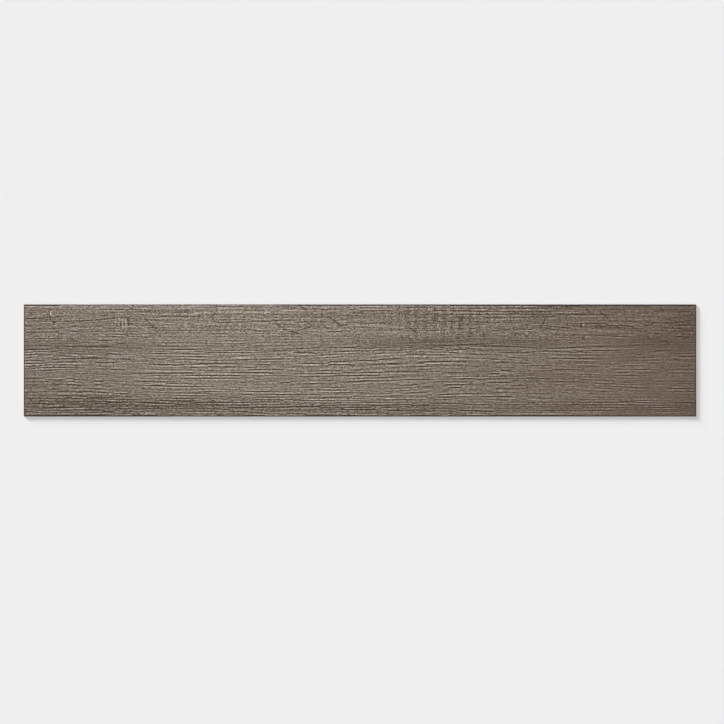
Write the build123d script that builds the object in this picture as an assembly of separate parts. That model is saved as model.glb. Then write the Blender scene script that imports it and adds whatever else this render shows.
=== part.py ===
"""A peel and stick vinyl floor plank with its release paper still on, lying face up.

The plank is one laminated sheet: a limestone-filled vinyl base, a printed film and a clear wear layer are
pressed together hot, the back is coated with adhesive, and a punch cuts the sheet to size from its face.
The punch draws the face down a little at the cut, so the face's edge is rolled over all round, and the rest
of the cut edge is straight. The release paper covers the adhesive. It is cut in the same stroke, so its
outline is the plank's own.

The frame: X runs along the plank and its grain, Y across it, and Z up out of the printed face. The origin is
the middle of the release paper's underside, which is the plane that the plank lies on. Sizes are millimetres.
"""

from build123d import *

import os

INCH = 25.4

# The outline that the punch cuts, the same in the plank and in its paper
plank_length = 36 * INCH
plank_width = 6 * INCH
corner_radius = 0.4

# The laminated sheet, adhesive included
vinyl_thickness = 1.5
rolled_edge_radius = 0.3

# The silicone-coated paper under it
paper_thickness = 0.1


def cut_outline():
    """The rectangle that the punch cuts, its corners as round as the tool's."""
    return RectangleRounded(plank_length, plank_width, corner_radius)


def release_paper():
    """The flat paper that covers the adhesive, from the ground up to the vinyl's back."""
    return extrude(cut_outline(), amount=paper_thickness)


def vinyl_plank():
    """The laminated sheet on the paper, its face's edge rolled over all round and its back's edge sharp."""
    sheet = extrude(Pos(0, 0, paper_thickness) * cut_outline(), amount=vinyl_thickness)
    face_edge = sheet.faces().sort_by(Axis.Z)[-1].outer_wire().edges()
    return fillet(face_edge, radius=rolled_edge_radius)


def main():
    os.makedirs("parts", exist_ok=True)
    pieces = {"vinyl_plank": vinyl_plank(), "release_paper": release_paper()}
    for name, piece in pieces.items():
        export_step(piece, f"parts/{name}.step")
        size = piece.bounding_box().size
        print(f"{name}: {size.X:.2f} x {size.Y:.2f} x {size.Z:.2f} mm, {piece.volume / 1000:.1f} cm3")


main()
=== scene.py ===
"""The looks of a self-adhesive vinyl floor plank that lies face up on its release paper, on a pale floor.

The sizes named here are millimetres. MM turns them into the metres of the meshes, the camera and the floor.
"""

import math

import bpy
import numpy as np
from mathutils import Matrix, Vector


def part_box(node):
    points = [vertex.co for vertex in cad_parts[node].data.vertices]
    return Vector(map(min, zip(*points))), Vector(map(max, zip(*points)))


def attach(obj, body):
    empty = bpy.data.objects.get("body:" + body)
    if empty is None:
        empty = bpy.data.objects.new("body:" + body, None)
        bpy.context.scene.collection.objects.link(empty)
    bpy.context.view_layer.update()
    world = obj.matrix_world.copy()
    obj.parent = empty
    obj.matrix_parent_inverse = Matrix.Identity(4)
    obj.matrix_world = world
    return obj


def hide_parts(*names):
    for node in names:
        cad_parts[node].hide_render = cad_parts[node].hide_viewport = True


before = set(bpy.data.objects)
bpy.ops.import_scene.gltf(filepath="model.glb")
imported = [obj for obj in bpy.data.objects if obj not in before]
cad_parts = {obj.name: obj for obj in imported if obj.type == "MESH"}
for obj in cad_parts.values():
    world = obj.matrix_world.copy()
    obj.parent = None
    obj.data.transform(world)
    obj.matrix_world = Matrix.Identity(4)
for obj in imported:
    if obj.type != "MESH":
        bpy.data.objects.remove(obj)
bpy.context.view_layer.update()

MM = 0.001


# The vinyl plank. A filled vinyl base, a film printed with oak grain and a clear wear layer are pressed
# together hot, and the press plate embosses the grain in step with the print. A punch cuts the plank out
# from its face, and rolls the face's edge over as it does.

low, high = (np.array(corner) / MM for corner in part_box("vinyl_plank"))
half_length, half_width = high[0], high[1]
back, face = low[2], high[2]
corner_radius = 0.4
rolled_radius = 0.3
columns, rows = 276, 312
corner_steps = 4
roll_steps = 4
sharp_angle = 50


def wander(seed, along, across):
    """Smooth noise from -1 to 1. A seeded random number stands at each whole number along and across, and
    a smoothstep, 3 t squared less 2 t cubed, leads from each to the next."""
    count = 256
    numbers = np.random.default_rng(seed).uniform(-1, 1, (count, count))
    i, j = np.floor(along).astype(int), np.floor(across).astype(int)
    s, t = along - i, across - j
    s, t = s * s * (3 - 2 * s), t * t * (3 - 2 * t)
    i, j, next_i, next_j = i % count, j % count, (i + 1) % count, (j + 1) % count
    near = numbers[i, j] * (1 - s) + numbers[next_i, j] * s
    far = numbers[i, next_j] * (1 - s) + numbers[next_i, next_j] * s
    return near * (1 - t) + far * t


def swell(x, y, centre_x, centre_y, reach_x, reach_y):
    """A bell that is 1 at its centre: e to the power of minus the squared distance, counted in reaches."""
    return np.exp(-(((x - centre_x) / reach_x) ** 2) - ((y - centre_y) / reach_y) ** 2)


def rise(x, low_end, high_end):
    """0 before the low end, 1 past the high end, and a smoothstep between them. The low end may be the
    greater number."""
    t = np.clip((x - low_end) / (high_end - low_end), 0, 1)
    return t * t * (3 - 2 * t)


# Where the grain swells up or down across the plank: the swell's centre, its reach and its height
GRAIN_SWELLS = [
    (-395, 3, 55, 16, 4.5),
    (-290, 3, 90, 18, 1.5),
    (92, 3, 150, 22, 10),
    (470, 6, 90, 14, 4),
    (-425, -34, 100, 16, 8.5),
    (230, -34, 130, 16, 7),
    (110, -34, 60, 14, 2.5),
    (-347, 53, 85, 16, 3),
    (95, 50, 110, 16, -4),
    (215, 44, 100, 13, 5),
    (440, 40, 80, 13, -5),
]


def grain_line(x, across):
    """The height y of a line of the grain: its own place across the plank plus the swells. They die out
    with the sixth power of the way to the plank's long edges, so that the outline stays straight."""
    inside = 1 - (across / (half_width - corner_radius)) ** 6
    return across + inside * sum(h * swell(x, across, a, b, c, d) for a, b, c, d, h in GRAIN_SWELLS)


def ridges(seed, pitch, run, along, across):
    """Ridges above 0 and grooves below it, side by side at a pitch: a cosine across the grain. Slow noise
    shifts its phase, so that ridges are straight but not evenly spaced. Their height is noise at three
    lengths along them, from a run down to a seventh of it, each slanted so that neighbours end at different
    places. It is multiplied by 0.4 plus 0.7 of its own size, so that the strong ones stand out."""
    shift, shift_length = 1.8, 170
    lane = across / (2 * pitch)
    turn = 2 * math.pi * across / pitch + shift * wander(seed, along / shift_length, lane)
    lengths = [(1, 5, 1.0), (2.6, -3, 0.6), (7, 1, 0.45)]
    height = 0
    for n, (steps, slant, weight) in enumerate(lengths):
        height = height + weight * wander(seed + 1 + n, (along + slant * across) * steps / run, lane)
    return 1.6 * height * (0.4 + 0.7 * np.abs(height)) * np.cos(turn)


# The grain's strongest lines: where each starts and ends, and its depth, which is below 0 where it is
# light. A shallow one calms the generated grain round it.
STRONG_LINES = [
    # The flecky upper third, from the left end to the right
    (-457, 74.8, -408, 74.8, 0.9),
    (-358, 69.3, -302, 69.3, 0.7),
    (-457, 57.1, -428, 57.0, 1.0),
    (-404, 52.8, -360, 54.6, 0.8),
    (-360, 54.8, -337, 57.2, 0.8),
    (-338, 58.3, -313, 58.3, 0.9),
    (-420, 51.6, -411, 51.6, 0.8),
    (-440, 43.3, -408, 43.6, 0.6),
    (-408, 44.0, -382, 47.6, 0.6),
    (-394, 39.4, -381, 39.4, 1.4),
    (-457, 38.0, -410, 38.5, 0.7),
    (-375, 39.5, -300, 39.6, 0.6),
    (-282, 40.8, -202, 40.8, 0.8),
    (-270, 60.2, -214, 59.9, 0.9),
    (-310, 47.5, -266, 47.5, 0.5),
    (-198, 73.7, -150, 73.2, 0.7),
    (-195, 51.0, -150, 52.6, 0.8),
    (-150, 53.0, -120, 53.2, 1.1),
    (-120, 54.5, -88, 54.7, 0.9),
    (-158, 41.8, -140, 41.5, 0.9),
    (-236, 67.9, -150, 67.9, 0.3),
    (-150, 62.4, -118, 62.4, 0.2),
    (-202, 41.0, -158, 41.6, 0.6),
    (-103, 75.0, 0, 74.8, 0.8),
    (-55, 69.2, -43, 69.2, 1.0),
    (-58, 58.5, -53, 58.5, 1.2),
    (-46, 38.8, -24, 39.3, 0.9),
    (-30, 47.0, -15, 48.6, 0.7),
    (-15, 51.0, 0, 51.2, 0.7),
    (0, 74.8, 38, 74.8, 1.0),
    (0, 49.6, 32, 51.0, 0.8),
    (-2, 73.4, 30, 73.4, -0.6),
    (0, 69.2, 45, 69.2, -0.6),
    (0, 67.7, 45, 67.8, 0.5),
    (38, 41.8, 60, 42.2, 0.6),
    (62, 70.2, 92, 70.4, -0.8),
    (62, 72.0, 100, 72.0, 0.6),
    (100, 68.0, 120, 67.8, 0.9),
    (102, 71.0, 125, 71.0, 0.6),
    (120, 53.0, 132, 52.8, 1.0),
    (124, 72.6, 145, 72.8, -0.6),
    (130, 69.0, 142, 69.2, -0.8),
    (128, 43.6, 142, 43.4, 0.7),
    (149, 43.2, 158, 43.0, 1.2),
    (143, 70.5, 170, 70.6, 0.9),
    (150, 69.2, 172, 69.0, -0.6),
    (146, 66.6, 190, 66.6, 0.5),
    (146, 64.6, 200, 64.6, -0.4),
    (104, 62.5, 215, 62.5, 0.35),
    (140, 60.4, 232, 60.4, -0.4),
    (165, 58.5, 232, 58.6, 0.45),
    (190, 73.0, 240, 73.0, -0.4),
    (200, 68.8, 262, 68.8, -0.4),
    (153, 52.5, 190, 51.5, 0.7),
    (190, 66.5, 262, 66.4, 0.5),
    (185, 71.0, 300, 70.7, 0.5),
    (215, 62.3, 262, 62.4, 0.6),
    (268, 65.0, 300, 65.0, -0.8),
    (258, 46.6, 288, 43.5, 0.9),
    (295, 59.8, 310, 59.8, -0.7),
    (312, 50.3, 338, 50.3, 0.9),
    (398, 51.5, 428, 50.7, 1.0),
    (428, 52.0, 441, 52.0, 1.2),
    (400, 36.6, 409, 36.6, 1.1),
    (430, 32.6, 448, 31.4, 0.9),
    (236, 48.6, 257, 48.4, -0.7),
    (368, 52.6, 378, 52.2, 0.8),
    (352, 48.5, 372, 45.5, 0.8),
    (345, 63.2, 357, 62.6, -0.7),
    (348, 34.2, 376, 34.2, -0.7),
    # Where the straight grain begins
    (-355, 27.2, -337, 27.2, 1.1),
    (-380, 24.4, -345, 24.4, 0.2),
    (-150, 24.4, -85, 24.4, 0.25),
    (-145, 20.4, -75, 20.4, 0.3),
    (-178, 6.4, -150, 6.4, 0.4),
    (-330, 23.0, -318, 23.0, 0.9),
    (-399, 19.0, -337, 19.0, 0.9),
    (-457, 20.3, -420, 20.0, 0.6),
    (-457, 14.9, -418, 15.3, 0.8),
    (-424, 12.2, -410, 12.4, 0.9),
    (-257, 14.9, -222, 15.0, 1.1),
    (-258, 12.6, -225, 13.0, -0.8),
    (-210, 10.8, -180, 11.0, 0.8),
    (-122, 12.5, -85, 13.8, 0.8),
    (-92, 11.0, -62, 11.0, 0.9),
    (-42, 17.5, -30, 17.5, 1.1),
    (-24, 17.5, -5, 17.3, 0.9),
    (-36, 12.3, -14, 12.4, 0.8),
    (-25, 15.0, 22, 15.0, -0.9),
    (2, 16.3, 18, 16.3, 1.0),
    (22, 9.6, 31, 9.6, 0.9),
    (22, 8.0, 36, 8.0, -0.8),
    (44, 13.5, 60, 13.5, 0.8),
    (60, 5.3, 110, 5.5, -0.7),
    (110, 5.5, 142, 5.6, -0.6),
    (62, 8.3, 92, 8.6, 0.6),
    (118, 4.6, 140, 4.2, 0.6),
    (150, 3.0, 178, 2.6, 0.6),
    (20, 13.5, 44, 13.5, 0.6),
    (75, 15.8, 100, 16.2, 0.6),
    (75, 20.6, 125, 20.8, 0.5),
    (140, 8.3, 190, 8.0, 0.6),
    (128, 15.1, 144, 15.1, 1.1),
    (78, 17.8, 134, 20.9, 0.6),
    (134, 20.9, 182, 23.0, 0.9),
    (158, 13.4, 175, 13.2, 0.8),
    (150, 20.3, 225, 18.5, 0.7),
    (190, 11.0, 236, 10.6, 0.8),
    (258, 16.0, 312, 18.5, 1.0),
    (312, 19.0, 360, 19.3, 0.8),
    (360, 20.0, 395, 21.3, 1.0),
    (408, 26.0, 417, 26.0, 0.9),
    (296, 12.4, 304, 12.3, 1.2),
    (316, 13.4, 350, 13.8, 1.0),
    (310, 15.0, 352, 15.3, -0.6),
    (402, 13.5, 424, 14.0, 0.8),
    # The straight grain, from the left end to the right
    (-415, 5.8, -396, 6.2, 1.0),
    (-420, 1.0, -400, 2.3, 0.8),
    (-400, 2.4, -348, 2.4, 1.1),
    (-348, 2.2, -310, 1.4, 0.9),
    (-408, 4.3, -380, 4.0, -0.6),
    (-253, 1.4, -224, 1.4, 1.0),
    (-457, -0.2, -430, 0.0, 0.8),
    (-457, -4.0, -432, -4.0, 1.1),
    (-457, -8.3, -432, -7.4, 0.9),
    (-362, -3.0, -333, -3.0, 0.9),
    (-408, -9.7, -382, -9.5, 0.9),
    (-340, -12.4, -320, -12.5, 1.0),
    (-272, -15.0, -225, -14.8, -0.9),
    (-313, -17.7, -225, -17.2, 1.0),
    (-457, -24.6, -430, -24.4, 0.9),
    (-398, -24.4, -391, -24.6, 1.1),
    (-394, -28.6, -389, -28.6, 1.3),
    (-425, -30.3, -398, -30.3, 0.2),
    (-395, -32.6, -391, -32.6, 1.2),
    (-358, -28.2, -350, -28.5, 1.3),
    (-362, -30.3, -351, -30.7, -0.9),
    (-358, -32.5, -351, -32.8, 1.1),
    (-306, -28.4, -284, -28.8, 1.3),
    (-285, -31.5, -262, -31.8, -0.7),
    (-424, -39.4, -407, -39.5, 0.9),
    (-376, -42.1, -362, -42.1, 1.3),
    (-334, -43.5, -316, -43.8, -0.9),
    (-327, -45.4, -317, -45.2, 0.9),
    (-400, -50.3, -391, -50.5, 1.1),
    (-372, -50.4, -330, -50.4, 0.7),
    (-220, -4.0, -163, -4.3, 1.0),
    (-230, -9.5, -220, -9.5, 1.1),
    (-207, -8.6, -190, -8.6, 1.2),
    (-159, -9.6, -142, -9.7, 1.1),
    (-152, -12.4, -103, -12.4, 0.8),
    (-190, -16.6, -120, -16.5, 0.9),
    (-204, -20.6, -176, -20.5, 0.9),
    (-41, -1.4, -20, -1.5, 1.1),
    (-41, -3.9, -10, -4.1, -0.8),
    (-42, -5.7, -10, -5.7, 1.2),
    (-33, -13.6, -28, -13.6, 1.1),
    (-60, -17.6, -38, -17.7, 1.0),
    (-24, -16.4, -4, -16.4, 1.0),
    (-33, -20.8, 30, -20.4, 0.9),
    (-66, -21.7, -50, -21.6, 0.8),
    (-110, -30.1, -93, -30.0, 0.9),
    (-158, -42.3, -110, -42.3, 0.9),
    (-160, -46.3, -145, -46.2, 1.2),
    (-112, -46.4, -52, -46.3, 0.9),
    (-51, -50.4, -12, -50.4, 0.9),
    (-180, -50.4, -165, -50.4, 0.8),
    (-2, 0.0, 16, 0.0, 1.2),
    (24, 1.2, 58, 2.8, 1.1),
    (88, -1.6, 140, -1.4, 1.0),
    (88, -4.2, 118, -4.0, -0.8),
    (2, -16.3, 34, -16.8, 1.1),
    (36, -15.2, 82, -14.8, 0.7),
    (20, -18.0, 80, -17.9, -0.8),
    (0, -27.8, 32, -27.8, 0.7),
    (0, -26.0, 30, -26.0, -0.6),
    (60, -26.2, 100, -26.0, 0.7),
    (114, -7.0, 132, -6.8, 0.8),
    (154, -8.6, 164, -8.4, 0.8),
    (116, -20.4, 142, -20.4, -0.6),
    (205, -34.3, 225, -34.2, 0.8),
    (208, -27.4, 218, -27.6, 0.9),
    (42, -45.8, 58, -45.8, -0.8),
    (66, -44.0, 92, -43.4, 0.6),
    (175, -47.6, 200, -47.6, -0.6),
    (190, -51.8, 215, -51.8, -0.6),
    (180, -43.6, 215, -43.6, 0.7),
    (113, -16.7, 143, -16.6, 1.2),
    (157, -17.8, 178, -17.8, -0.2),
    (179, -18.0, 187, -18.0, 1.6),
    (188, -17.9, 212, -17.9, -0.3),
    (175, -20.5, 189, -20.5, -0.8),
    (190, -13.6, 205, -13.5, 0.9),
    (158, -26.0, 172, -26.0, 1.1),
    (175, -30.0, 205, -29.8, 1.0),
    (54, -34.2, 80, -33.2, 0.8),
    (112, -31.4, 148, -31.4, -0.8),
    (118, -32.9, 145, -32.8, 0.8),
    (120, -37.2, 138, -37.0, 1.0),
    (84, -39.8, 98, -39.8, -0.8),
    (132, -45.0, 175, -45.0, 0.8),
    (78, -48.7, 90, -49.0, 1.0),
    (165, -49.3, 208, -48.9, 0.8),
    (258, 2.6, 296, 2.6, 1.1),
    (262, 14.6, 290, 14.4, -0.7),
    (232, -7.4, 262, -7.0, 0.7),
    (278, -34.2, 294, -34.2, -0.7),
    (228, -22.0, 238, -22.0, -0.9),
    (348, -20.6, 380, -20.8, 0.8),
    (400, -26.0, 430, -25.6, -0.5),
    (340, -9.8, 352, -9.8, -0.7),
    (392, -1.6, 408, -1.6, -0.7),
    (420, -12.2, 457, -12.3, 0.6),
    (228, -53.4, 242, -53.2, -0.8),
    (240, -51.6, 262, -51.5, 0.7),
    (330, -44.8, 348, -44.6, -0.6),
    (260, -12.6, 302, -12.5, 0.7),
    (293, -6.0, 315, -5.5, -0.7),
    (310, -8.3, 327, -8.2, 0.8),
    (265, -29.0, 272, -29.0, 1.1),
    (266, -31.2, 278, -31.4, -0.8),
    (350, -16.7, 365, -16.6, 0.9),
    (376, -12.3, 388, -12.3, 1.0),
    (434, -8.0, 446, -8.0, 0.9),
    (350, -29.5, 371, -29.8, 0.8),
    (428, -28.2, 457, -28.5, 0.8),
    (430, -31.0, 457, -31.0, 0.9),
    (425, 4.3, 434, 4.4, -0.9),
    (303, 5.2, 315, 5.1, -0.8),
    (403, -34.4, 412, -34.2, -0.7),
    (337, -30.0, 347, -29.9, -0.8),
    (283, -27.0, 301, -26.6, -0.7),
    # The lower band
    (-345, -57.2, -322, -57.0, 1.1),
    (-300, -57.2, -256, -58.4, 1.2),
    (-275, -54.4, -228, -55.8, 1.1),
    (-290, -60.3, -250, -60.2, -0.8),
    (-457, -69.5, -446, -69.5, 0.9),
    (-350, -69.3, -337, -69.3, 0.9),
    (-280, -64.8, -268, -64.8, 0.9),
    (-457, -74.8, -350, -74.7, 0.9),
    (-309, -74.8, -276, -74.8, 1.1),
    (-222, -57.3, -165, -57.1, 1.1),
    (-218, -60.5, -148, -61.2, 1.0),
    (-182, -64.0, -126, -64.0, 1.0),
    (-94, -62.6, -52, -62.7, 1.3),
    (-45, -67.0, -12, -66.8, 0.8),
    (-100, -72.0, -90, -72.0, 1.0),
    (-75, -74.9, 0, -75.0, 1.0),
    (0, -57.0, 35, -57.4, 0.7),
    (0, -58.7, 24, -58.7, -0.6),
    (15, -61.3, 45, -61.2, 1.1),
    (26, -64.0, 46, -63.8, 0.7),
    (6, -67.0, 22, -67.0, 0.9),
    (34, -69.8, 48, -69.8, -0.8),
    (80, -71.2, 98, -71.2, -0.8),
    (96, -58.0, 135, -58.2, 0.6),
    (140, -60.0, 172, -60.0, 0.6),
    (66, -61.4, 95, -61.5, 0.8),
    (36, -68.2, 72, -68.4, 0.8),
    (133, -68.0, 185, -69.5, 1.2),
    (70, -75.0, 110, -75.0, 1.2),
    (175, -75.0, 330, -75.0, 1.0),
    (228, -57.2, 238, -57.8, 0.9),
    (290, -60.0, 304, -60.0, 0.9),
    (318, -54.5, 338, -54.7, -0.8),
    (352, -56.0, 375, -55.8, 0.9),
    (245, -68.0, 345, -68.2, 0.9),
    (425, -57.4, 457, -57.4, 0.9),
]


def strong_lines(x, y):
    """The strong lines as grooves below 0 with a low ridge along each side, and how much of each place is
    theirs. With d as the distance from a line in widths, the section is 2 d squared less 1, times e to the
    minus d squared. Each line is uneven in depth and fades in and out at its ends."""
    width, their_widths = 1.35, 1.5
    fade_in, fade_out = (-0.05, 0.1), (1.05, 0.9)
    grooves, theirs = np.zeros_like(x), np.zeros_like(x)
    for start_x, start_y, end_x, end_y, strength in STRONG_LINES:
        t = (x - start_x) / (end_x - start_x)
        d = (y - start_y - (end_y - start_y) * t) / width
        ends = rise(t, *fade_in) * rise(t, *fade_out)
        uneven = strength * ends * (0.85 + 0.5 * wander(31, x / 7, np.full_like(x, start_y)))
        grooves = grooves + uneven * (2 * d * d - 1) * np.exp(-d * d)
        theirs = np.maximum(theirs, ends * np.exp(-((d / their_widths) ** 2)))
    return grooves, theirs


# Soft darker and lighter places of the print: the centre, the reach along and across, and the change of
# tone
PRINT_TONES = [
    (-130, 0, 260, 300, 0.040),
    (470, 0, 190, 300, -0.072),
    (449, 0, 22, 300, -0.020),
    (0, 76, 900, 9, 0.026),
    (-330, 76, 160, 9, 0.030),
    (330, 76, 140, 12, -0.045),
    (-180, 38, 220, 16, 0.018),
    (110, 57, 75, 12, -0.045),
    (-400, 19, 95, 7, -0.055),
    (-160, 20, 190, 8, -0.028),
    (82, 22, 65, 7, -0.066),
    (205, 22, 75, 9, -0.050),
    (410, 24, 60, 14, -0.050),
    (40, 8, 160, 5, 0.016),
    (-380, -60, 110, 12, -0.105),
    (-215, -60, 90, 11, -0.100),
    (-60, -66, 130, 9, -0.075),
    (80, -65, 90, 10, -0.070),
    (330, -64, 150, 10, -0.050),
    (-455, -34, 25, 16, -0.030),
    (215, -27, 50, 9, -0.022),
    (-340, 52, 9, 10, -0.020),
    (-313, 52, 6, 10, -0.020),
    (-250, 65, 18, 6, -0.030),
    (-58, 64, 24, 7, -0.030),
    (238, 63, 24, 9, -0.045),
    (440, 54, 30, 14, -0.045),
    (435, -62, 24, 9, -0.028),
    (35, 18, 45, 4, -0.024),
    (-95, 75, 110, 5, 0.028),
    (300, 50, 70, 6, -0.028),
    (-230, 28, 60, 7, 0.032),
    (-230, 6, 110, 7, 0.022),
    (-255, -14, 80, 8, 0.026),
    (-240, -47, 90, 6, 0.034),
    (25, -66, 45, 9, 0.020),
    (-400, -71, 90, 5, -0.040),
    (-450, 7, 20, 5, 0.030),
    (130, 7, 70, 5, 0.018),
    (330, 61, 50, 5, 0.030),
    (-10, 40, 50, 5, 0.024),
    (-20, -58, 35, 5, 0.026),
    (270, -24, 110, 8, -0.022),
    (165, 29, 80, 5, -0.028),
    (185, -69, 30, 5, -0.028),
    (-350, -58, 50, 5, -0.024),
    (-165, 62, 25, 6, 0.026),
    (-385, 62, 18, 6, 0.026),
    (-245, 41, 25, 5, 0.026),
    (-75, 77, 25, 4, -0.025),
    (135, 77, 30, 4, 0.032),
    (250, 77, 30, 4, 0.030),
    (368, 51, 15, 5, -0.024),
    (165, -15, 15, 8, -0.024),
    (163, 18, 14, 4, -0.020),
    (95, 27, 25, 3, -0.040),
]


def print_tone(x, y):
    """The tone of the printed film, as brightness on a screen from 0 to 1: the oak's mean, the soft places
    and slow noise that is drawn out along the grain."""
    mean_tone, cloud = 0.425, 0.012
    tone = mean_tone + sum(t * swell(x, y, a, b, c, d) for a, b, c, d, t in PRINT_TONES)
    return tone + cloud * wander(71, x / 60, y / 7) + cloud * wander(72, x / 14, y / 9)


u = np.linspace(corner_radius - half_length, half_length - corner_radius, columns + 1)
v = np.linspace(corner_radius - half_width, half_width - corner_radius, rows + 1)
along, across = np.meshgrid(u, v, indexing="ij")
x, y = along, grain_line(along, across)

# The grain's generated lines: the seed, pitch and run, and their share in the flecky upper third and in the
# straight grain below it
GRAIN_LINES = [
    (11, 3.9, 75, 0.3, 0.9),
    (21, 3.5, 60, 0.3, 0.9),
    (31, 11.0, 90, 0.25, 0.0),
    (41, 5.6, 60, 0.4, 0.0),
    (51, 3.1, 50, 0.4, 0.5),
]

# Where the generated grain is livelier or calmer: the centre, the reach along and across, and the change
LIVELY_PLACES = [
    (-200, -4, 260, 15, 0.15),
    (-100, 29, 500, 8, -0.40),
    (-450, -36, 45, 12, -0.50),
    (-370, -3, 60, 14, 0.30),
    (100, -28, 110, 28, -0.45),
]

# The lower band is livelier, most in its left half, and its lines lie closer together. Towards the right
# end the grain is calm, most where it is straight, and everywhere it waxes and wanes from place to place.
lower_band = -46
straight = 1 - rise(y, 22, 38)
packed = across + 0.2 * np.minimum(across - lower_band, 0)
lively = 1 + sum(change * swell(x, y, a, b, c, d) for a, b, c, d, change in LIVELY_PLACES)
lively = lively + rise(y, lower_band, lower_band - 12) * (0.1 + 0.6 * rise(x, 200, 40))
calm = (1 - 0.45 * straight * rise(x, 130, 380)) * (1 - 0.25 * rise(x, 395, 430))
waxing = 0.68 + 0.7 * rise(wander(61, (x + 3 * y) / 30, y / 6), -0.5, 0.8)
lively = lively * calm * waxing

# The generated lines give way where a strong line lies. Both kinds are weaker right of the middle.
line_share = 0.73 * (1 - 0.15 * rise(x, 0, 60))
strong_share = 1.5 - 0.4 * rise(x, 180, 380)
deepest, highest = -1.8, 1.5
ridged = 0
for seed, pitch, run, flecky_share, straight_share in GRAIN_LINES:
    share = flecky_share + (straight_share - flecky_share) * straight
    ridged = ridged + share * ridges(seed, pitch, run, along, packed)
grooves, theirs = strong_lines(x, y)
ridged = line_share * lively * ridged * (1 - theirs) + strong_share * grooves
ridged = np.clip(ridged, deepest, highest)

# The plate presses a groove no deeper than -1 and leaves a ridge no higher than 1. The print goes on past
# both, darker in the grooves and lighter on the ridges.
emboss_depth = 0.19
contrast, darkening = 0.23, 0.05
pressed = 0.5 - 0.5 * np.clip(ridged, -1, 1)
depth = emboss_depth * pressed
tone = print_tone(x, y) + contrast * ridged - darkening * ridged**2


def plank_skin():
    """The plank's closed skin: its vertices, faces, places on the flat map, and for each vertex the grid
    point that it takes its grain from. The embossed face is a grid inside the outline by the corner radius.
    Round it lie rings, each the grid's edge moved outwards and down: over the rolled edge as a quarter
    circle, then down the cut wall to the back, which is one flat face. On the map the face fills all but a
    margin, the rings lie in the margin, and the back is a strip at the top."""
    grid = np.arange((columns + 1) * (rows + 1)).reshape(columns + 1, rows + 1)
    points = np.stack([x, y, face - depth], -1).reshape(-1, 3)
    margin, ring_share, strip = 0.02, 0.9, 0.06
    spread = np.array([1 - 2 * margin, 1 - 2 * margin - strip])
    size = 2 * np.array([half_length - corner_radius, half_width - corner_radius])
    place = margin + (np.stack([along, across], -1).reshape(-1, 2) / size + 0.5) * spread

    sides = [grid[:, 0], grid[-1, :], grid[::-1, -1], grid[0, ::-1]]
    turns = [-90, 0, 90, 180]
    turned = np.linspace(0, 90, corner_steps + 1)[1:-1]
    loop = np.concatenate([np.append(side, [side[-1]] * len(turned)) for side in sides])
    angle = [np.append([turn] * len(side), turn + turned) for side, turn in zip(sides, turns)]
    angle = np.radians(np.concatenate(angle))
    way = np.stack([np.cos(angle), np.sin(angle)], -1)

    rolled = np.radians(np.linspace(0, 90, roll_steps + 1))
    out = corner_radius - rolled_radius + rolled_radius * np.sin(rolled)
    down = rolled_radius * (1 - np.cos(rolled))
    out, down = np.append(out, corner_radius), np.append(down, face - back)
    rings, ring_points, ring_places = [loop], [], []
    for n, (moved, lowered) in enumerate(zip(out, down)):
        rings.append(len(points) + n * len(loop) + np.arange(len(loop)))
        height = face - lowered - depth.reshape(-1)[loop] * max(0, 1 - lowered / rolled_radius)
        ring_points.append(np.column_stack([points[loop, :2] + moved * way, height]))
        square = way / np.abs(way).max(1, keepdims=True)
        ring_places.append(place[loop] + square * margin * ring_share * (n + 1) / len(out))
    points = np.concatenate([points, *ring_points])
    place = np.concatenate([place, *ring_places])
    source = np.concatenate([grid.reshape(-1)] + [loop] * len(out))

    quads = [np.stack([grid[:-1, :-1], grid[1:, :-1], grid[1:, 1:], grid[:-1, 1:]], -1).reshape(-1, 4)]
    for inner, outer in zip(rings[:-1], rings[1:]):
        quads.append(np.stack([inner, outer, np.roll(outer, -1), np.roll(inner, -1)], -1))
    quads = np.concatenate(quads)
    pinched = quads[:, 0] == quads[:, 3]
    faces = quads[~pinched].tolist() + quads[pinched, :3].tolist() + [rings[-1][::-1].tolist()]
    corners = np.concatenate([quads[~pinched].reshape(-1), quads[pinched, :3].reshape(-1)])
    back_place = points[rings[-1][::-1], :2] / size + 0.5
    back_place = [margin, 1 - strip] + back_place * [1 - 2 * margin, strip - margin]
    return points, faces, np.concatenate([place[corners], back_place]), source


points, faces, places, source = plank_skin()
mesh = bpy.data.meshes.new("embossed_vinyl_plank")
mesh.from_pydata(points * MM, [], faces)
mesh.uv_layers.new(name="OFBake").data.foreach_set("uv", places.astype(np.float32).reshape(-1))
grain = np.column_stack([along.reshape(-1), across.reshape(-1), np.zeros(along.size)])
grain = grain[source].reshape(-1)
mesh.attributes.new("grain", "FLOAT_VECTOR", "POINT").data.foreach_set("vector", grain)
for name, values in (("tone", tone), ("pressed", pressed), ("lively", lively)):
    values = values.reshape(-1)[source]
    mesh.attributes.new(name, "FLOAT", "POINT").data.foreach_set("value", values)
mesh.shade_smooth()
mesh.set_sharp_from_angle(angle=math.radians(sharp_angle))
plank = bpy.data.objects.new("embossed_vinyl_plank", mesh)
bpy.context.collection.objects.link(plank)


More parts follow.
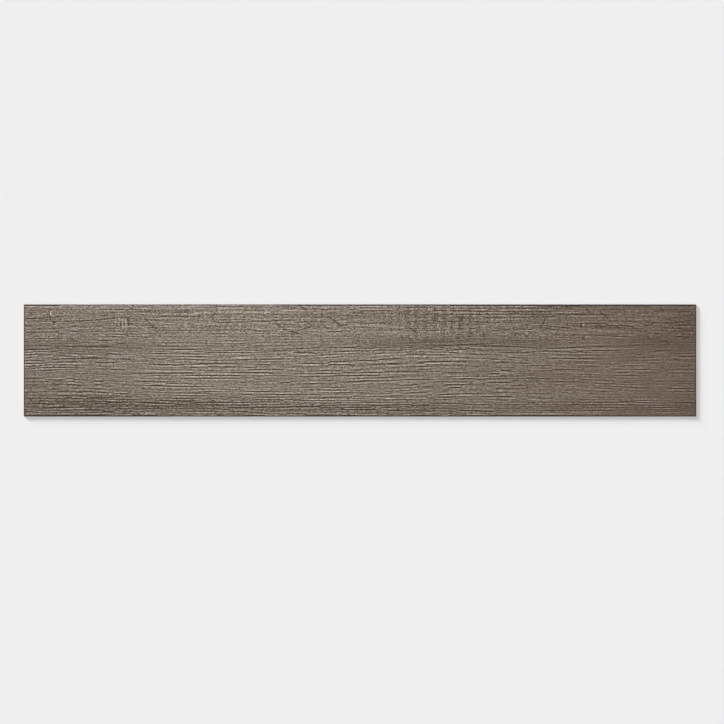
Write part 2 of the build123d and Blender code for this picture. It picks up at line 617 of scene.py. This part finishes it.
class Shade:
    """A socket of a material's nodes. Arithmetic on it adds Math nodes, and node() adds a node of any
    type."""

    def __init__(self, tree, socket=None):
        self.tree = tree
        self.socket = socket

    def node(self, kind, inputs=None, settings=None, output=0):
        """Adds a node, gives it its settings and then its sockets' values or links, and returns one
        output."""
        made = self.tree.nodes.new("ShaderNode" + kind)
        for name, setting in (settings or {}).items():
            if name == "stops":
                for n, (place, colour) in enumerate(setting):
                    stop = made.color_ramp.elements[n] if n < 2 else made.color_ramp.elements.new(place)
                    stop.position, stop.color = place, (*colour, 1)
            else:
                setattr(made, name, setting)
        for name, value in (inputs or {}).items():
            if isinstance(value, Shade):
                self.tree.links.new(value.socket, made.inputs[name])
            else:
                made.inputs[name].default_value = value
        return Shade(self.tree, made.outputs[output] if made.outputs else None)

    def place(self):
        """Where a point lies on the object, as a vector of millimetres."""
        return self.vector("MULTIPLY", self.node("TexCoord", output="Object"), (1 / MM, 1 / MM, 1 / MM))

    def attribute(self, name, output="Fac"):
        """What the mesh holds under a name at each of its vertices."""
        return self.node("Attribute", settings={"attribute_name": name}, output=output)

    def maths(self, operation, *values):
        return self.node("Math", dict(enumerate(values)), {"operation": operation})

    def vector(self, operation, *values, output="Vector"):
        return self.node("VectorMath", dict(enumerate(values)), {"operation": operation}, output)

    def __add__(self, other):
        return self.maths("ADD", self, other)

    def __sub__(self, other):
        return self.maths("SUBTRACT", self, other)

    def __rsub__(self, other):
        return self.maths("SUBTRACT", other, self)

    def __mul__(self, other):
        return self.maths("MULTIPLY", self, other)

    __radd__, __rmul__ = __add__, __mul__

    def between(self, low_end, high_end):
        """0 at the low end, 1 at the high end, and a smoothstep between them."""
        ends = {"Value": self, "From Min": low_end, "From Max": high_end}
        return self.node("MapRange", ends, {"interpolation_type": "SMOOTHSTEP", "clamp": False})

    def noise(self, size_x, size_y, detail=2.0, roughness=0.5):
        """Noise about -1 to 1 over this vector of millimetres. Its grains have this size."""
        fitted = self.vector("MULTIPLY", self, (1 / size_x, 1 / size_y, 0))
        given = {"Vector": fitted, "Scale": 1.0, "Detail": detail, "Roughness": roughness}
        return self.node("TexNoise", given) * 4 - 2

    def mix(self, first, second):
        """The first colour where this is 0 and the second where it is 1."""
        return self.node("Mix", {0: self, 6: first, 7: second}, {"data_type": "RGBA"}, 2)

    def line(self, start_x, start_y, end_x, end_y, width):
        """1 on a straight line over this vector of millimetres, and a smoothstep to 0 at the width from it.
        The line's nearest point is its start plus its way times the share of the way that lies nearest."""
        way = (end_x - start_x, end_y - start_y, 0)
        squared = way[0] ** 2 + way[1] ** 2
        offset = self.vector("SUBTRACT", self, (start_x, start_y, 0))
        share = self.vector("DOT_PRODUCT", offset, [w / squared for w in way], output="Value")
        share = self.maths("MINIMUM", self.maths("MAXIMUM", share, 0), 1)
        nearest = self.node("VectorMath", {0: way, "Scale": share}, {"operation": "SCALE"})
        apart = self.vector("DISTANCE", offset, nearest, output="Value")
        return apart.between(width, 0)

    def patch(self, centre_x, centre_y, reach_x, reach_y):
        """1 inside an ellipse over this vector of millimetres, and a smoothstep to 0 at its reach."""
        offset = self.vector("SUBTRACT", self, (centre_x, centre_y, 0))
        scaled = self.vector("MULTIPLY", offset, (1 / reach_x, 1 / reach_y, 0))
        return self.vector("LENGTH", scaled, output="Value").between(1, 0.4)


def start_material(name):
    """A new material, and a Shade of its empty tree to start its nodes from."""
    made = bpy.data.materials.new(name)
    made.use_nodes = True
    made.node_tree.nodes.clear()
    return made, Shade(made.node_tree)


def finish_material(start, colour, roughness, height):
    """Joins a colour, a roughness and a relief in millimetres to one surface."""
    relief = start.node("Bump", {"Height": height, "Strength": 1.0, "Distance": MM})
    varied = {"Base Color": colour, "Roughness": roughness, "Normal": relief}
    start.node("OutputMaterial", {"Surface": start.node("BsdfPrincipled", varied)})


def linear(shown):
    """The linear value of a screen value from 0 to 1, by the screen's own curve."""
    return shown / 12.92 if shown <= 0.04045 else ((shown + 0.055) / 1.055) ** 2.4


def oak(tone):
    """The film's colour at a tone: the tone plus a warmth times an offset, above 0 for red and below it for
    green and blue. The warmth grows with how far the tone is under 0.5, to the power of 1.5."""
    offsets = (0.039, -0.007, -0.057)
    warmth = 0.98 + 3.6 * max(0, 0.5 - tone) ** 1.5
    return [linear(max(0, tone + warmth * offset)) for offset in offsets]


# Short marks that cross the grain: where each starts and ends, its width and its strength, which is below 0
# where it is light
CROSS_MARKS = [
    (-293, 58, -282, 46, 1.2, 1.0),
    (-282, 46, -276, 43, 1.3, 1.0),
    (-82, 75, -73, 68, 1.4, 1.0),
    (-106, 76, -100, 72, 1.2, 0.6),
    (-41, 58, -24, 46, 1.6, 1.0),
    (-115, 51, -101, 42, 1.3, 1.1),
    (-96, 39.5, -83, 36.6, 1.3, 1.3),
    (-80, 42, -67, 45.6, 1.3, 1.1),
    (-119, 49, -106, 40, 1.2, -0.6),
    (-53, 52, -44, 43, 1.3, 0.8),
    (-10, 66.6, -3.5, 59.4, 1.2, 0.6),
    (-76, 54, -65, 47, 1.2, 0.6),
    (69, 44, 77, 37, 1.4, 1.3),
    (66, 31, 72, 25.5, 1.3, 0.6),
    (69, 32.5, 74, 27.5, 1.2, -0.4),
    (56, 31, 60, 27, 1.2, 0.5),
    (132, 32, 134, 30.5, 1.8, 0.8),
    (147, 33.5, 150, 31, 1.4, 0.6),
    (149, 37.5, 152, 36.5, 1.6, 0.7),
    (196, 34.5, 203, 37.5, 1.2, -0.5),
    (208, 33, 214, 38, 1.2, 0.5),
    (216, 30.5, 222, 34, 1.2, -0.5),
    (140, 61, 134, 48, 1.3, 0.7),
    (60, 68, 62, 58, 1.3, 0.7),
    (168, 38, 169, 28, 1.3, 0.7),
    (254, 61, 245, 43, 1.3, 0.7),
    (327, 65, 337, 58, 1.5, 1.0),
    (308, 70, 314, 63, 1.3, 0.7),
    (302, 31.5, 305, 28.5, 1.7, 0.9),
    (300, 29, 301, 33, 1.2, -0.6),
    (307, 31, 311, 33.5, 1.3, -0.6),
    (297, 47.2, 298, 49, 1.3, -0.8),
    (303.6, 47.2, 304.4, 49, 1.3, -0.8),
    (300.8, 44, 301, 48, 1.2, 0.6),
    (391, 33, 394, 28.5, 1.3, 0.6),
    (395, 34.5, 397, 31, 1.2, -0.5),
    (416, 27.5, 420, 21.5, 1.4, 0.6),
    (231, 35.5, 238, 32.5, 1.2, -0.6),
    (229, 37.5, 236, 35, 1.2, 0.6),
    (409, 74, 411, 68, 1.2, 0.5),
    (440, 29.5, 447, 31, 1.8, 0.5),
    (-423, 68, -422.3, 63, 1.2, 0.8),
    (-422, 60.5, -421, 55, 1.4, 1.1),
    (-420.6, 66.5, -420.2, 62, 1.3, -1.1),
    (-409.5, 36, -410.5, 30.5, 1.3, 0.6),
    (-296, 44.5, -291, 43, 1.3, -0.6),
    (-306, 46, -303, 44, 1.2, -0.6),
    (-203, 67, -196, 63.5, 1.3, 0.7),
    (-137, 31.5, -130, 28.3, 1.3, -0.6),
    # The ladder of ray flecks
    (-331.8, 57, -331.8, 51, 1.2, -0.8),
    (-327.5, 57, -327.5, 45, 1.2, -0.8),
    (-323, 57, -322.6, 43, 1.2, -0.8),
    (-318.8, 56, -317.8, 42, 1.2, -0.9),
    (-330.8, 50, -330.8, 47, 1.3, 1.0),
    (-325, 51, -325, 48, 1.3, 1.0),
    (-329.7, 57, -329.7, 53, 1.1, 0.5),
    (-315.6, 57, -314.6, 48, 1.7, 0.9),
]

# Patches where light and dark flecks stand across the grain: the centre, the reach and the strength
RAY_FLECKS = [
    (300, 50, 7, 6, 1.0),
    (-190, 56, 120, 24, 0.2),
]


def vinyl_material():
    """Printed vinyl: the grain's tone with fibres, pores, cross marks and ray flecks, under a satin wear
    layer whose fine texture is a bump. A band of painted shade darkens the face along its rolled edge,
    and the cut wall shows the filled base."""
    stripe_pitch, stripe_phase = 12.1, 2.3
    # The second value is how far the painted shade along the face's edge darkens the tone.
    film, painted_edge_shade = 0.1, 0.34
    rosy_tint = (1.012, 0.986, 1.033)
    dark_filler, pale_filler = (0.075, 0.070, 0.066, 1), (0.125, 0.118, 0.110, 1)

    made, start = start_material("embossed_oak_vinyl")
    place = start.place()
    flat = start.vector("MULTIPLY", place, (1, 1, 0))
    side_x, side_y, height = (start.node("SeparateXYZ", {"Vector": place}, output=n) for n in range(3))
    grain = start.attribute("grain", "Vector")
    tone, pressed, lively = (start.attribute(name) for name in ("tone", "pressed", "lively"))

    flecky = side_y.between(20, 36)
    striped = flat.patch(108, 58, 110, 34)
    busy = 0.5 + 0.5 * lively - 0.25 * side_x.between(200, 380)
    streaks = busy * grain.noise(11, 1.8, 2, 0.6)
    fibres = grain.noise(9, 0.5, 3, 0.6)
    bits = grain.noise(4.5, 1.3, 2, 0.6)
    dashes = busy * (0.9 + 0.25 * flecky - 0.35 * striped) * bits * (0.6 + start.maths("ABSOLUTE", bits))
    spots = flat.noise(2.1, 1.8, 1)
    coarse = 0.8 + 0.45 * flecky * side_x.between(330, 220) + 0.4 * striped
    speckle = busy * coarse * spots * (0.6 + 1.1 * start.maths("ABSOLUTE", spots))
    pores = grain.noise(6, 0.5, 1).between(0.35, 0.8)
    marks = sum(strength * flat.line(*track, width) for *track, width, strength in CROSS_MARKS)
    marks = (1 + 0.6 * spots) * marks
    rays = flat.noise(5, 30, 1) * sum(strength * flat.patch(*place) for *place, strength in RAY_FLECKS)
    turn = 2 * math.pi / stripe_pitch * side_x + stripe_phase + 0.8 * flat.noise(25, 60, 1)
    stripes = striped * start.maths("SINE", turn)
    fine = 0.08 * streaks + 0.155 * dashes + 0.04 * fibres + 0.125 * speckle
    tone = tone + fine - fine * fine - 0.1 * pores - 0.24 * marks + 0.16 * rays + 0.045 * stripes

    # Painted shade: the tone is darkest within 1.0 mm of the face's edge and fades out by 1.6 mm, in place
    # of the rolled arris's shading. On the back edge the band is narrower towards the left end and wider
    # right of the middle.
    ends = half_length - start.maths("ABSOLUTE", side_x)
    back_edge_shade_shift = 0.6 - 0.6 * side_x.between(-130, -90) - 0.7 * side_x.between(50, 130)
    sides = half_width - start.maths("ABSOLUTE", side_y) + side_y.between(0, 76) * back_edge_shade_shift
    tone = tone - painted_edge_shade * start.maths("MINIMUM", ends, sides).between(1.6, 1.0)
    stops = [(t / 20, oak(t / 20)) for t in range(2, 17)]
    printed = start.node("ValToRGB", {"Fac": tone}, {"stops": stops})
    rosy = side_x.between(120, 380) + 0.5 * side_x.between(-250, -420) + 0.5 * grain.noise(90, 12, 1)
    printed = rosy.mix(printed, start.vector("MULTIPLY", printed, rosy_tint))
    wall = height.between(face - rolled_radius, face - rolled_radius - film)
    filler = 0.5 + 0.3 * flat.noise(0.5, 0.5, 2) + 0.3 * flat.noise(3, 3, 1)
    colour = wall.mix(printed, filler.mix(dark_filler, pale_filler))
    relief = 0.02 * streaks + 0.025 * dashes + 0.01 * fibres - 0.02 * pores + 0.015 * speckle
    finish_material(start, colour, 0.48 + 0.12 * pressed + 0.05 * fibres, relief)
    return made


mesh.materials.append(vinyl_material())
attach(plank, "root")
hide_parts("vinyl_plank")


# The release paper. Bleached kraft paper with a silicone coat on the side that faces the adhesive. It is
# cut in the same stroke as the vinyl, and only its thin edge and its plain underside show.

thin_paper, thick_paper = (0.70, 0.68, 0.62, 1), (0.84, 0.82, 0.77, 1)


def paper_material():
    """Bleached kraft paper: clouded fibres, a little rougher where they are thick."""
    made, start = start_material("bleached_release_paper")
    place = start.place()
    clouds = place.noise(6, 5, 3, 0.6)
    fibres = place.noise(1.2, 0.25, 3, 0.7)
    colour = (0.5 + 0.25 * clouds + 0.25 * fibres).mix(thin_paper, thick_paper)
    finish_material(start, colour, 0.5 + 0.06 * fibres, 0.004 * fibres + 0.003 * clouds)
    return made


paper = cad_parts["release_paper"]
paper.data.materials.clear()
paper.data.materials.append(paper_material())


# The floor. A plain, level sheet of pale studio card. Its top is a hair under the plane that the release
# paper's underside lies in, so that the two faces never share a plane.

floor_half, floor_drop = 15000, 0.02
floor_shown = 0.938
floor_mesh = bpy.data.meshes.new("studio_floor")
floor_corners = floor_half * np.array([(-1, -1, 0), (1, -1, 0), (1, 1, 0), (-1, 1, 0)])
floor_mesh.from_pydata((floor_corners - [0, 0, floor_drop]) * MM, [], [(0, 1, 2, 3)])
floor = bpy.data.objects.new("studio_floor", floor_mesh)
bpy.context.collection.objects.link(floor)
card, start = start_material("pale_studio_card")
surface = start.node("BsdfDiffuse", {"Color": (*[linear(floor_shown)] * 3, 1)})
start.node("OutputMaterial", {"Surface": surface})
floor_mesh.materials.append(card)


# The light. A low, soft key from the upper left of the picture draws the grain's relief and lays the
# plank's shadow to the right and below. Three wide softboxes round the plank and the room fill it up to a
# plain level.

key_share, fill_share, room_share = 0.37, 0.17, 0.15
key_height, key_turn, key_spread = 9, 45, 12
fill_height, fill_turns, fill_spread = 55, [20, 140, 260], 60


def softbox(name, height, turn, spread, share):
    """A sun lamp at a height above the horizon, turned from the left towards the back, all in degrees. Its
    strength is pi times the share over the height's sine, so that it gives a level white surface that share
    of full brightness."""
    lamp = bpy.data.lights.new(name, "SUN")
    lamp.angle = math.radians(spread)
    lamp.energy = share * math.pi / math.sin(math.radians(height))
    shown = bpy.data.objects.new(name, lamp)
    bpy.context.collection.objects.link(shown)
    shown.rotation_euler = (0, -math.radians(90 - height), -math.radians(turn))


softbox("key_softbox", key_height, key_turn, key_spread, key_share)
for n, turn in enumerate(fill_turns):
    softbox(f"fill_softbox_{n}", fill_height, turn, fill_spread, fill_share)

world = bpy.data.worlds.new("studio_room")
bpy.context.scene.world = world
world.use_nodes = True
world.node_tree.nodes.clear()
room = Shade(world.node_tree)
seen = room.node("LightPath", output="Is Camera Ray")
strength = room_share + (linear(floor_shown) - room_share) * seen
room.node("OutputWorld", {"Surface": room.node("Background", {"Strength": strength})})


# The camera looks straight down, far enough away that the plank shows no perspective. The plank's centre
# stands a little off the centre of the picture.

picture_side = 724
plank_pixels = 672.3
plank_pixel_x, plank_pixel_y = 359.95, 360.4
pixel = 2 * half_length / plank_pixels
focal_length = 100
lens = bpy.data.cameras.new("studio_camera")
lens.lens = focal_length
camera = bpy.data.objects.new("studio_camera", lens)
bpy.context.collection.objects.link(camera)
distance = picture_side * pixel / 2 / (lens.sensor_width / 2 / focal_length)
camera.location = (
    (picture_side / 2 - plank_pixel_x) * pixel * MM,
    (plank_pixel_y - picture_side / 2) * pixel * MM,
    (distance + face) * MM,
)
bpy.context.scene.camera = camera
bpy.context.scene.view_settings.view_transform = "Standard"
